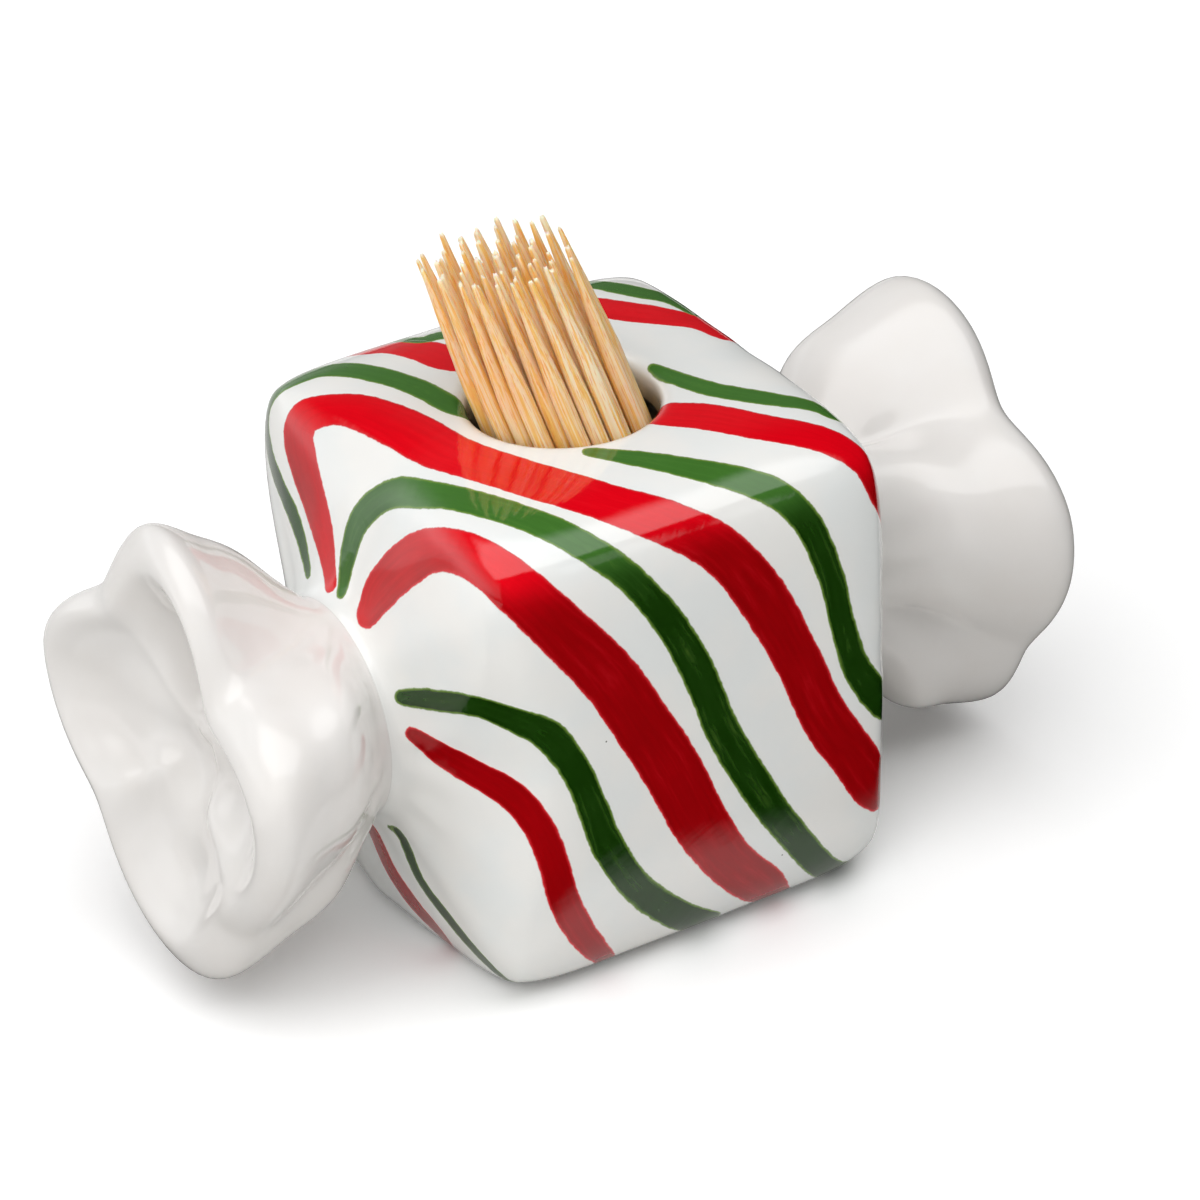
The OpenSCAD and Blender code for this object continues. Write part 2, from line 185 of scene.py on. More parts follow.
STRIPES = [
    Stripe(RED, seen=(
        (331, 584, 12), (321, 526, 21), (303, 465, 27), (298, 427, 29), (323, 409, 29), (359, 410, 31),
        (403, 427, 38), (452, 453, 36), (508, 472, 33), (557, 487, 35), (615, 504, 39), (672, 524, 46),
        (723, 552, 50), (764, 600, 52), (796, 656, 47), (823, 714, 48), (851, 753, 48), (874, 784, 46)),
        after=((1.15, 213, 3.8), (1.35, 214, 2.8), (1.55, 212, 1.8))),
    Stripe(GREEN, seen=(
        (308, 572, 7), (294, 518, 10), (270, 456, 11), (267, 412, 11), (290, 383, 12), (326, 370, 15),
        (370, 373, 15), (418, 388, 16), (458, 408, 16)),
        after=((-0.4, 87, 1.6),)),
    Stripe(GREEN, seen=(
        (590, 452, 9), (633, 458, 15), (695, 469, 22), (747, 481, 27), (783, 498, 30), (811, 529, 29),
        (833, 582, 26), (843, 626, 25), (858, 670, 28), (880, 700, 26)),
        after=((1.25, 196, 2), (1.45, 198, 1.4))),
    Stripe(GREEN, seen=(
        (341, 592, 9), (348, 556, 15), (361, 518, 21), (390, 494, 26), (427, 494, 26), (481, 504, 23),
        (538, 523, 26), (586, 547, 30), (633, 581, 31), (673, 628, 34), (700, 676, 35), (721, 727, 35),
        (749, 775, 36), (780, 819, 34), (822, 866, 30)),
        after=((0.88, 228, 2.8), (1.1, 236, 2.4), (1.35, 240, 1.8), (1.55, 242, 1.2))),
    Stripe(RED, seen=(
        (368, 612, 22), (380, 589, 31), (407, 562, 38), (441, 549, 42), (478, 560, 46), (518, 590, 53),
        (560, 629, 57), (608, 676, 60), (644, 727, 60), (672, 770, 60), (699, 820, 58), (729, 861, 52),
        (762, 886, 40)),
        after=((0.46, 226, 3),)),
    Stripe(GREEN, seen=(
        (402, 698, 17), (432, 700, 20), (474, 706, 20), (516, 721, 26), (548, 736, 33), (574, 767, 32),
        (592, 806, 32), (608, 846, 34), (636, 886, 34), (672, 912, 31), (704, 924, 25))),
    Stripe(RED, seen=(
        (414, 735, 15), (442, 755, 23), (480, 776, 26), (513, 796, 30), (538, 827, 31), (554, 864, 32),
        (565, 902, 32), (584, 936, 30), (606, 962, 25))),
    Stripe(GREEN, before=((-1.8, 235, 0.6),),
        seen=((402, 838, 8), (420, 880, 8), (450, 921, 9), (488, 964, 8)),
        after=((-0.95, 228, 1),)),
    Stripe(RED, before=((-1.84, 256, 1.2),),
        seen=((373, 832, 12), (390, 869, 14), (415, 906, 14), (443, 937, 12)),
        after=((-1, 248, 1.6),)),
    Stripe(RED, before=(
        (-1.78, 28, 1.4), (-1.5, 14, 2.2), (-1.2, 12, 2.8), (-0.95, 20, 3.2), (-0.72, 34, 3)),
        seen=((362, 352, 12), (393, 347, 16), (426, 351, 20), (450, 360, 22)),
        after=((-0.18, 70, 2.4),)),
    Stripe(RED, seen=(
        (665, 414, 23), (709, 417, 26), (767, 428, 26), (824, 439, 26), (859, 459, 25), (878, 491, 18)),
        after=((1.3, 148, 2.2), (1.5, 152, 1.4))),
    Stripe(GREEN, before=(
        (-1.78, 8, 1), (-1.5, -4, 1.8), (-1.2, -6, 2.2), (-0.9, 4, 2.4), (-0.6, 22, 2.2), (-0.42, 38, 1.6)),
        seen=((416, 340, 8), (436, 336, 10), (450, 334, 10)),
        after=((0.04, 57, 1.2), (0.2, 65, 1.5), (0.36, 76, 1.4))),
    Stripe(GREEN, seen=(
        (652, 366, 7), (678, 379, 13), (719, 391, 14), (776, 400, 13), (813, 406, 11), (840, 416, 10)),
        after=((1.3, 128, 1.5), (1.5, 128, 1))),
    Stripe(RED, before=(
        (-1.78, -10, 1.6), (-1.5, -21, 2.6), (-1.2, -24, 3.4), (-0.85, -15, 4), (-0.45, 3, 4.2),
        (-0.1, 21, 4), (0.2, 36, 3.6), (0.45, 52, 2.8)),
        seen=((609, 309, 19), (656, 315, 19), (699, 323, 16), (726, 334, 12)),
        after=((1.3, 84, 2.2), (1.5, 84, 1.8), (1.7, 82, 1.1))),
    Stripe(GREEN, before=(
        (-1.78, -28, 1), (-1.5, -39, 1.8), (-1.2, -42, 2.4), (-0.85, -35, 2.8), (-0.4, -19, 3),
        (0, -2, 2.8), (0.35, 18, 2.4), (0.6, 38, 1.8)),
        seen=((597, 285, 12), (633, 291, 14), (671, 300, 12), (694, 311, 9)),
        after=((1.25, 69, 1.8), (1.5, 66, 1.5), (1.7, 62, 0.9))),
    Stripe(RED, before=(
        (-1.78, -46, 1.6), (-1.5, -56, 2.6), (-1.2, -59, 3.4), (-0.9, -53, 3.8), (-0.5, -42, 4.2),
        (-0.1, -29, 4.4), (0.3, -13, 4.2), (0.65, 5, 3.8), (0.95, 20, 3.2),
        (1.25, 30, 2.6), (1.5, 38, 1.9), (1.7, 44, 1.2))),
    Stripe(GREEN, before=((-1.78, -64, 1), (-1.5, -70, 1.8), (-1.25, -70, 2.2), (-1.05, -64, 2))),
    Stripe(GREEN, before=(
        (-0.5, -56, 1.8), (-0.2, -48, 2.6), (0.2, -38, 2.8), (0.6, -24, 2.8), (0.95, -8, 2.4),
        (1.25, 3, 2), (1.5, 10, 1.5), (1.72, 16, 0.9))),
    Stripe(RED, before=(
        (0.15, -55, 3), (0.5, -46, 4.2), (0.85, -34, 4), (1.12, -23, 3.2), (1.35, -15, 2.5),
        (1.55, -9, 1.8), (1.72, -4, 1.1))),
    Stripe(GREEN, before=(
        (0.75, -56, 2), (1, -47, 2.6), (1.22, -39, 2.2), (1.45, -33, 1.7), (1.7, -28, 1))),
    Stripe(RED, before=((1, -72, 2.8), (1.2, -68, 3.2), (1.42, -66, 2.6), (1.74, -62, 1.2))),
    Stripe(GREEN, before=((1.05, 262, 2), (1.25, 262, 2.4), (1.5, 260, 1.8), (1.72, 257, 1))),
]


def camera_axes():
    """Right, up and back of the camera as rows."""
    a, e, r = (math.radians(d) for d in (CAMERA_AZIMUTH, CAMERA_ELEVATION, CAMERA_ROLL))
    back = Vector((math.sin(a) * math.cos(e), -math.cos(a) * math.cos(e), math.sin(e)))
    right = Vector((math.cos(a), math.sin(a), 0))
    up = back.cross(right)
    return (right * math.cos(r) + up * math.sin(r), up * math.cos(r) - right * math.sin(r), back)


CAMERA_AXES = camera_axes()
CAMERA_PLACE = BODY_CENTRE + CAMERA_AXES[2] * CAMERA_DISTANCE


def make_camera():
    data = bpy.data.cameras.new("camera")
    data.sensor_width = SENSOR
    data.lens = FOCAL_PIXELS / PHOTO * SENSOR
    data.shift_x = (PHOTO / 2 - OPTICAL_CENTRE[0]) / PHOTO
    data.shift_y = (OPTICAL_CENTRE[1] - PHOTO / 2) / PHOTO
    data.clip_start = 0.01
    data.clip_end = 20
    camera = bpy.data.objects.new("camera", data)
    bpy.context.scene.collection.objects.link(camera)
    camera.matrix_world = Matrix.Translation(CAMERA_PLACE) @ Matrix(CAMERA_AXES).transposed().to_4x4()
    bpy.context.scene.camera = camera


def pixel_ray(x, y):
    """Direction from the camera through a pixel of the photograph."""
    right, up, back = CAMERA_AXES
    across, down = (x - OPTICAL_CENTRE[0]) / FOCAL_PIXELS, (y - OPTICAL_CENTRE[1]) / FOCAL_PIXELS
    return (right * across - up * down - back).normalized()


# Shape of the body

def crown_scale(u, power):
    return (1 - np.minimum(u, 1) ** power) ** (1 / power)


def neck_radius(t):
    """Radius of the necks, whose fronts are filled where the twists are luted on."""
    return NECK_R + NECK_FILL * (0.5 + 0.5 * np.cos(t - NECK_FILL_AT)) ** 1.5


def body_skin(v, t):
    """Points of the body's outside.

    v runs along it, from -2 at the left neck over -1 and 1, where the shoulders begin, to 2. t is in
    radians from the back over the top.
    """
    v, t = np.broadcast_arrays(np.asarray(v, float), np.asarray(t, float))
    a = np.abs(v)
    k = np.clip(a - 1, 0, 1)
    b0, b1, b2, b3 = (1 - k) ** 3, 3 * k * (1 - k) ** 2, 3 * k * k * (1 - k), k ** 3
    start = crown_scale(SHOULDER, SQUARE)
    slope = -SHOULDER ** (SQUARE - 1) * start ** (1 - SQUARE)
    in_crown = a <= 1
    u = SHOULDER * np.minimum(a, 1)
    shoulder_x = HALF_L * ((b0 + b1) * SHOULDER + b1 * HANDLES[0] - b2 * HANDLES[1]) + (b2 + b3) * NECK_X
    x = np.where(in_crown, HALF_L * u, shoulder_x)
    s = np.where(in_crown, crown_scale(u, SQUARE), b0 * start + b1 * (start + slope * HANDLES[0]))
    q = np.where(in_crown, 0, b2 + b3)
    neck = neck_radius(t)
    across, up = s * HALF_W + q * neck, s * HALF_H + q * neck
    power = 2 + (SQUARE - 2) * (s * HALF_W / across) ** 2
    c, n = np.cos(t), np.sin(t)
    r = (np.abs(c) ** power + np.abs(n) ** power) ** (-1 / power)
    g = np.maximum(0, x / NECK_X - DRAW_START) / (1 - DRAW_START)
    side = np.floor(t / (math.pi / 2) + 0.5).astype(int) % 4
    share = DRAW_SHARES[side] * (np.sin(np.pi * g ** DRAW_SKEW) * np.cos(2 * t)) ** 2
    draw = np.where(v < 0, LEFT_DRAW * share, 0)
    return np.stack([np.sign(v) * (x - draw), across * r * c, MID_Z + up * r * n], -1)


def skin_places(x, y):
    """The v and t of points on the top of the body, from where they lie seen from above."""
    v, t = x / (HALF_L * SHOULDER), np.arctan2(HALF_W, y)
    step = 1e-5
    for _ in range(NEWTON_ROUNDS):
        p = body_skin(v, t)[..., :2]
        dv = (body_skin(v + step, t)[..., :2] - p) / step
        dt = (body_skin(v, t + step)[..., :2] - p) / step
        miss = np.stack([x, y], -1) - p
        area = dv[..., 0] * dt[..., 1] - dv[..., 1] * dt[..., 0]
        v = v + (miss[..., 0] * dt[..., 1] - miss[..., 1] * dt[..., 0]) / area
        t = t + (dv[..., 0] * miss[..., 1] - dv[..., 1] * miss[..., 0]) / area
    return v, t


# The wobble of a hand-cast form: long, low waves
WAVES = 7
WAVE_HEIGHT = 0.03 * MM
WAVE_LENGTHS = (9 * MM, 26 * MM)


def waver(points, seed):
    """Height of the waves at each point."""
    rng = np.random.default_rng(seed)
    height = np.zeros(len(points))
    for _ in range(WAVES):
        direction = rng.normal(size=3)
        direction /= np.linalg.norm(direction)
        length = rng.uniform(*WAVE_LENGTHS)
        height += np.sin(points @ direction * 2 * math.pi / length + rng.uniform(0, 2 * math.pi))
    return height * WAVE_HEIGHT / math.sqrt(WAVES)


# Small gathers round the necks
GATHER_HEIGHT = 0.05 * MM
GATHER_REACH = 2.5 * MM
GATHER_COUNTS = (9, 13, 21)
# Waves and gathers fade out over this length beside each joint
JOINT_FADE = 2 * MM


def gathers(points, seed):
    """Height of the small folds beside the joint of neck and twist."""
    rng = np.random.default_rng(seed)
    turn = np.arctan2(points[:, 2] - MID_Z, points[:, 1])
    ripple = sum(np.sin(count * turn + rng.uniform(0, 2 * math.pi)) for count in GATHER_COUNTS)
    away = np.abs(np.abs(points[:, 0]) - NECK_X) / GATHER_REACH
    outside = np.hypot(points[:, 1], points[:, 2] - MID_Z) > NECK_R / 2
    return np.where(outside, GATHER_HEIGHT * ripple * away * np.exp(1 - away), 0)


def new_piece(name, points, faces, material, flat_faces=()):
    """A mesh object at the origin, with smooth faces apart from flat_faces."""
    mesh = bpy.data.meshes.new(name)
    mesh.from_pydata(np.asarray(points).tolist(), [], faces)
    mesh.polygons.foreach_set("use_smooth", np.ones(len(mesh.polygons), bool))
    for i in flat_faces:
        mesh.polygons[i].use_smooth = False
    mesh.materials.append(material)
    mesh.update()
    piece = bpy.data.objects.new(name, mesh)
    bpy.context.scene.collection.objects.link(piece)
    return piece


def ring_quads(rows, columns, first=0):
    """Faces between rings of equally many points that follow each other."""
    faces = []
    for k in range(rows - 1):
        a, b = first + k * columns, first + (k + 1) * columns
        faces += [(a + i, b + i, b + (i + 1) % columns, a + (i + 1) % columns) for i in range(columns)]
    return faces


def push_out(points, faces, heights):
    """Moves each point along its normal."""
    mesh = bpy.data.meshes.new("scratch")
    mesh.from_pydata(points.tolist(), [], faces)
    mesh.update()
    normals = np.zeros(len(points) * 3)
    mesh.vertex_normals.foreach_get("vector", normals)
    bpy.data.meshes.remove(mesh)
    return points + normals.reshape(-1, 3) * heights[:, None]


def without_loose(points, faces):
    """Points and faces without the points that no face uses."""
    used = np.unique([i for face in faces for i in face])
    number = np.zeros(len(points), int)
    number[used] = np.arange(len(used))
    number = number.tolist()
    return points[used], [tuple(number[i] for i in face) for face in faces]


def body_mesh():
    """Points and faces of the body: skin, mouth, bore and cavity, and a disc in each neck."""
    v_rows = np.concatenate([
        [-2], np.linspace(-LAST_V, -1, SHOULDER_STEPS, endpoint=False),
        np.linspace(-1, 1, 2 * CROWN_STEPS, endpoint=False),
        np.linspace(1, LAST_V, SHOULDER_STEPS + 1), [2]])
    turns = 2 * math.pi * np.arange(AROUND) / AROUND
    rows = len(v_rows)
    skin = body_skin(v_rows[:, None], turns[None, :]).reshape(-1, 3)
    middle_row, middle_turn = 1 + SHOULDER_STEPS + CROWN_STEPS, AROUND // 4
    low_row, high_row = middle_row - MOUTH_COLUMNS, middle_row + MOUTH_COLUMNS
    low_turn, high_turn = middle_turn - MOUTH_ROWS, middle_turn + MOUTH_ROWS

    def index(row, turn):
        return row * AROUND + turn % AROUND

    faces = []
    for row in range(rows - 1):
        for turn in range(AROUND):
            if low_row <= row < high_row and low_turn <= turn < high_turn:
                continue
            faces.append((index(row, turn), index(row, turn + 1),
                          index(row + 1, turn + 1), index(row + 1, turn)))
    # Border of the opening in the grid, once round
    border = (
        [(row, low_turn) for row in range(low_row, high_row)]
        + [(high_row, turn) for turn in range(low_turn, high_turn)]
        + [(row, high_turn) for row in range(high_row, low_row, -1)]
        + [(low_row, turn) for turn in range(high_turn, low_turn, -1)])
    loop = [index(row, turn) for row, turn in border]
    count = len(loop)
    border_v = v_rows[[row for row, _ in border]]
    border_t = turns[[turn for _, turn in border]]
    heading = np.arctan2(skin[loop, 1], skin[loop, 0])
    outer = MOUTH_R + LIP_WIDTH
    circle_v, circle_t = skin_places(outer * np.cos(heading), outer * np.sin(heading))
    points = [skin]
    rings = [loop]
    total = len(skin)

    def add_ring(ring):
        nonlocal total
        points.append(ring)
        rings.append(list(range(total, total + count)))
        total += count

    for k in range(1, MOUTH_RINGS + 1):
        share = k / MOUTH_RINGS
        add_ring(body_skin(border_v + (circle_v - border_v) * share,
                           border_t + (circle_t - border_t) * share))
    lip_z = points[-1][:, 2]
    for k in range(1, LIP_RINGS + 1):
        turn = math.pi / 2 * k / LIP_RINGS
        radius = MOUTH_R + LIP_WIDTH * (1 - math.sin(turn))
        z = lip_z - LIP_DROP * (1 - math.cos(turn))
        add_ring(np.stack([radius * np.cos(heading), radius * np.sin(heading), z], -1))
    # Cavity, from the ceiling at the bore to the floor
    half = np.array([HALF_L - WALL, HALF_W - WALL, (BODY_H - WALL - FLOOR_T) / 2])
    cavity_centre = np.array([0, 0, FLOOR_T + half[2]])
    left_share = 1 - CAVITY_DRAW * LEFT_DRAW / half[0]
    opening = math.atan2(MOUTH_R, half[2])
    for k in range(CAVITY_RINGS + 1):
        lean = opening + (CAVITY_END - opening) * k / CAVITY_RINGS
        d = np.stack([
            math.sin(lean) * np.cos(heading), math.sin(lean) * np.sin(heading),
            np.full(count, math.cos(lean))], -1)
        reach = (np.abs(d / half) ** SQUARE).sum(1) ** (-1 / SQUARE)
        reach *= np.where(d[:, 0] < 0, left_share, 1)
        add_ring(cavity_centre + d * reach[:, None])
    for a, b in zip(rings, rings[1:]):
        faces += [(a[i], b[i], b[(i + 1) % count], a[(i + 1) % count]) for i in range(count)]
    points.append(np.array([[0, 0, FLOOR_T], [-NECK_X, 0, MID_Z], [NECK_X, 0, MID_Z]]))
    floor_point, left_point, right_point = total, total + 1, total + 2
    last = rings[-1]
    faces += [(last[i], floor_point, last[(i + 1) % count]) for i in range(count)]
    skin_faces = len(faces)
    faces += [(index(0, i), left_point, index(0, i + 1)) for i in range(AROUND)]
    faces += [(index(rows - 1, i), index(rows - 1, i + 1), right_point) for i in range(AROUND)]
    points, faces = without_loose(np.concatenate(points), faces)
    return points, faces, range(skin_faces, len(faces))


# Painted stripes

def spline(points, spacing):
    """Smooth line through rows of numbers, sampled about every spacing of their first three."""
    p = np.asarray(points, float)
    p = np.concatenate([[2 * p[0] - p[1]], p, [2 * p[-1] - p[-2]]])
    out = []
    for a, b, c, d in zip(p, p[1:], p[2:], p[3:]):
        steps = max(2, int(np.linalg.norm((c - b)[:3]) / spacing))
        u = (np.arange(steps) / steps)[:, None]
        out.append((2 * b + (c - a) * u + (2 * a - 5 * b + 4 * c - d) * u ** 2
                    + (3 * b - a - 3 * c + d) * u ** 3) / 2)
    out.append(p[-2][None, :])
    return np.concatenate(out)


STRIPE_SPACING = 0.25 * MM
PIXEL_SIZE = CAMERA_DISTANCE / FOCAL_PIXELS
# Pixel in the middle of the body, and the steps of the search towards it, in hundredths of the way
BODY_PIXEL = (600, 640)
SEARCH_STEPS = 40
# A slanting stripe is at most this much wider than it looks
MOST_SLANT = 2.2
SKIN_ROWS = 161
SKIN_TURNS = 160
POINTS_AT_ONCE = 2000


class Skin:
    """The body's skin without its mouth, to lay stripes on."""

    def __init__(self):
        v = np.linspace(-2, 2, SKIN_ROWS)
        turns = 2 * math.pi * np.arange(SKIN_TURNS) / SKIN_TURNS
        points = body_skin(v[:, None], turns[None, :]).reshape(-1, 3)
        self.tree = BVHTree.FromPolygons(points.tolist(), ring_quads(len(v), len(turns)))

    def hit(self, x, y):
        return self.tree.ray_cast(CAMERA_PLACE, pixel_ray(x, y))[0]

    def hit_near(self, x, y):
        """Where the ray through a pixel, or the nearest one towards the body's middle, meets the skin."""
        for step in range(SEARCH_STEPS):
            share = step / 100
            place = self.hit(x + (BODY_PIXEL[0] - x) * share, y + (BODY_PIXEL[1] - y) * share)
            if place is not None:
                return place
        raise ValueError(f"pixel {x}, {y} is off the body")

    def from_pixels(self, entries):
        """Rows of [x, y, z, half width] for pixels with widths."""
        if not entries:
            return []
        e = np.array(entries, float)
        along = np.gradient(e[:, :2], axis=0)
        along /= np.linalg.norm(along, axis=1)[:, None]
        rows = []
        for (x, y, width), (dx, dy) in zip(e, along):
            place = self.hit_near(x, y)
            halves = []
            for side in (-1, 1):
                edge = self.hit(x - side * dy * width / 2, y + side * dx * width / 2)
                if edge is not None:
                    halves.append((edge - place).length)
            half = sum(halves) / len(halves) if halves else width / 2 * PIXEL_SIZE
            rows.append([*place, min(half, MOST_SLANT * width / 2 * PIXEL_SIZE)])
        return rows

    def lay(self, rows):
        """The smooth line through rows, laid on the skin."""
        line = spline(rows, STRIPE_SPACING)
        for row in line:
            row[:3] = self.tree.find_nearest(Vector(row[:3]))[0]
        return line


def skin_rows(entries):
    """Rows of [x, y, z, half width] for places on the skin with widths."""
    return [[*body_skin(v, math.radians(t)), width * MM / 2] for v, t, width in entries]


def lay_stripes():
    """Samples [x, y, z, half width, distance along] of the stripes of each colour."""
    skin = Skin()
    found = {RED: [], GREEN: []}
    for stripe in STRIPES:
        line = skin.lay(skin_rows(stripe.before) + skin.from_pixels(stripe.seen) + skin_rows(stripe.after))
        steps = np.linalg.norm(np.diff(line[:, :3], axis=0), axis=1)
        along = np.concatenate([[0], np.cumsum(steps)])
        found[stripe.colour].append(np.column_stack([line, along]))
    return {colour: np.concatenate(lines) for colour, lines in found.items()}


def edge_distance(points, samples):
    """Distance of each point outside the nearest stripe's edge, negative inside, and how far along it."""
    distance = np.empty(len(points))
    along = np.empty(len(points))
    for first in range(0, len(points), POINTS_AT_ONCE):
        chosen = slice(first, first + POINTS_AT_ONCE)
        part = points[chosen]
        d2 = ((part ** 2).sum(1)[:, None] + (samples[:, :3] ** 2).sum(1)[None, :]
              - 2 * part @ samples[:, :3].T)
        d = np.sqrt(np.maximum(d2, 0)) - samples[:, 3]
        nearest = d.argmin(1)
        distance[chosen] = d[np.arange(len(part)), nearest]
        along[chosen] = samples[nearest, 4]
    return distance, along


def set_attribute(piece, name, values):
    attribute = piece.data.attributes.new(name, "FLOAT", "POINT")
    attribute.data.foreach_set("value", np.asarray(values, np.float32))


def make_body(material):
    points, faces, flat = body_mesh()
    heights = waver(points, BODY_WAVES) + gathers(points, BODY_GATHERS)
    heights *= np.clip((NECK_X - np.abs(points[:, 0])) / JOINT_FADE, 0, 1)
    points = push_out(points, faces, heights)
    points[:, 2] = np.maximum(points[:, 2], 0)
    piece = new_piece("painted_body", points, faces, material, flat)
    samples = lay_stripes()
    for colour in (RED, GREEN):
        distance, along = edge_distance(points, samples[colour])
        set_attribute(piece, colour, distance / MM)
        set_attribute(piece, colour + "_along", along / MM)
    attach(piece, "holder")
    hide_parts("candy_body")


# Shape of the twists

def fold_values(t, folds, column, crease, swell=1.0):
    """A column of the folds at angles t in degrees: rounded at lobes, creased at pinches."""
    folds = np.array(folds, float)
    angles, values = folds[:, 0], folds[:, column]
    turn = np.where(t < angles[0], t + 360, t)
    k = np.searchsorted(angles, turn, "right") - 1
    following = (k + 1) % len(angles)
    span = np.where(following == 0, angles[following] + 360, angles[following]) - angles[k]
    q = (turn - angles[k]) / span
    away = np.where(k % 2 == 0, 1 - q, q)
    soft = (np.sqrt(away ** 2 + crease ** 2) - crease) / (math.sqrt(1 + crease ** 2) - crease)
    lobe = np.where(k % 2 == 0, values[k], values[following])
    pinch = np.where(k % 2 == 0, values[following], values[k])
    return pinch + (lobe - pinch) * np.sin(soft * np.pi / 2) ** swell


def soften(values, radius):
    """Values round a ring with their sharpest turns worn down."""
    spectrum = np.fft.rfft(values)
    blur = FOLD_SOFTNESS / max(radius, FOLD_SOFTNESS)
    return np.fft.irfft(spectrum * np.exp(-(np.arange(len(spectrum)) * blur) ** 2 / 2), len(values))


# Place of the rim among the profile's keys, where the folds have turned all the way
RIM_KEY = 5


def twist_mesh(side, folds):
    """Points and faces of a twist from its neck to the bottom of its dish, and the disc in its neck."""
    degrees = 360 * np.arange(AROUND) / AROUND
    rim = TWIST_R * fold_values(degrees, folds, 1, RIM_CREASE)
    reach = TWIST_L * fold_values(degrees, folds, 2, RIM_CREASE)
    depth = FOLD_DEPTH * fold_values(degrees, folds, 3, FACE_CREASE)
    full = fold_values(degrees, folds, 4, FACE_CREASE, FOLD_SWELL)
    neck = neck_radius(np.radians(degrees) - FOLD_TURN)
    flare = rim - neck
    lip_width = 1.6 * TWIST_LIP
    inner = rim - lip_width
    mouth = reach - 0.4 * TWIST_LIP
    mean = TWIST_R * np.mean([row[1] for row in folds]) - lip_width
    same = np.ones(AROUND)
    # Profile at each angle, as [outward from the neck, radius]: flare, lip, dish
    keys = np.array([
        [0 * same, neck],
        [0.14 * reach, neck + 0.38 * flare * full],
        [0.34 * reach, neck + flare * full],
        [0.58 * reach, neck + flare * (1 + full) / 2],
        [reach - 0.6 * TWIST_LIP, rim - 0.03 * TWIST_LIP],
        [reach, rim - 0.75 * TWIST_LIP],
        [mouth, inner],
        [mouth - 0.6 * depth, 0.76 * inner],
        [mouth - depth, 0.46 * (inner + 0.3 * (mean - inner))],
        [(DISH_X + 0.3 * (TWIST_L - FOLD_DEPTH - DISH_X)) * same, 0.2 * mean * same],
        [DISH_X * same, 0 * same],
    ])
    before = keys[1] * [[-1], [1]]
    after = keys[-2] * [[1], [-1]]
    p = np.concatenate([[before], keys, [after]])
    points = []
    for k, (a, b, c, d) in enumerate(zip(p, p[1:], p[2:], p[3:])):
        shares = np.arange(TWIST_STEPS) / TWIST_STEPS
        for u in np.insert(shares, 1, JOINT_SHARE) if k == 0 else shares:
            out, r = (2 * b + (c - a) * u + (2 * a - 5 * b + 4 * c - d) * u ** 2
                      + (3 * b - a - 3 * c + d) * u ** 3) / 2
            if points:
                out, r = soften(out, r.mean()), soften(r, r.mean())
            turns = np.radians(degrees) - FOLD_TURN * max(0, 1 - (k + u) / RIM_KEY)
            points.append(np.stack(
                [side * (NECK_X + out), r * np.cos(turns), MID_Z + r * np.sin(turns)], -1))
    count = len(points)
    points.append(np.array([[side * (NECK_X + DISH_X), 0, MID_Z], [side * NECK_X, 0, MID_Z]]))
    pole, centre = count * AROUND, count * AROUND + 1
    faces = ring_quads(count, AROUND)
    last = (count - 1) * AROUND
    faces += [(last + i, pole, last + (i + 1) % AROUND) for i in range(AROUND)]
    skin_faces = len(faces)
    faces += [(i, (i + 1) % AROUND, centre) for i in range(AROUND)]
    if side > 0:
        faces = [face[::-1] for face in faces]
    return np.concatenate(points), faces, range(skin_faces, len(faces))


def make_twist(name, node, side, folds, material):
    points, faces, flat = twist_mesh(side, folds)
    heights = waver(points, TWIST_WAVES + side) + gathers(points, TWIST_GATHERS + side)
    heights *= np.clip((np.abs(points[:, 0]) - NECK_X) / JOINT_FADE, 0, 1)
    points = push_out(points, faces, heights)
    piece = new_piece(name, points, faces, material, flat)
    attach(piece, "holder")
    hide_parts(node)


# Toothpicks

def pick_frame(node, axis):
    """Middle of the foot and length of a toothpick's solid."""
    solid = frame["nodes"][node].data
    points = np.array([v.co for v in solid.vertices], float)
    along = points @ axis
    foot_points = np.unique(points[along < along.min() + 0.01 * MM].round(7), axis=0)
    return foot_points.mean(0), along.max() - along.min()


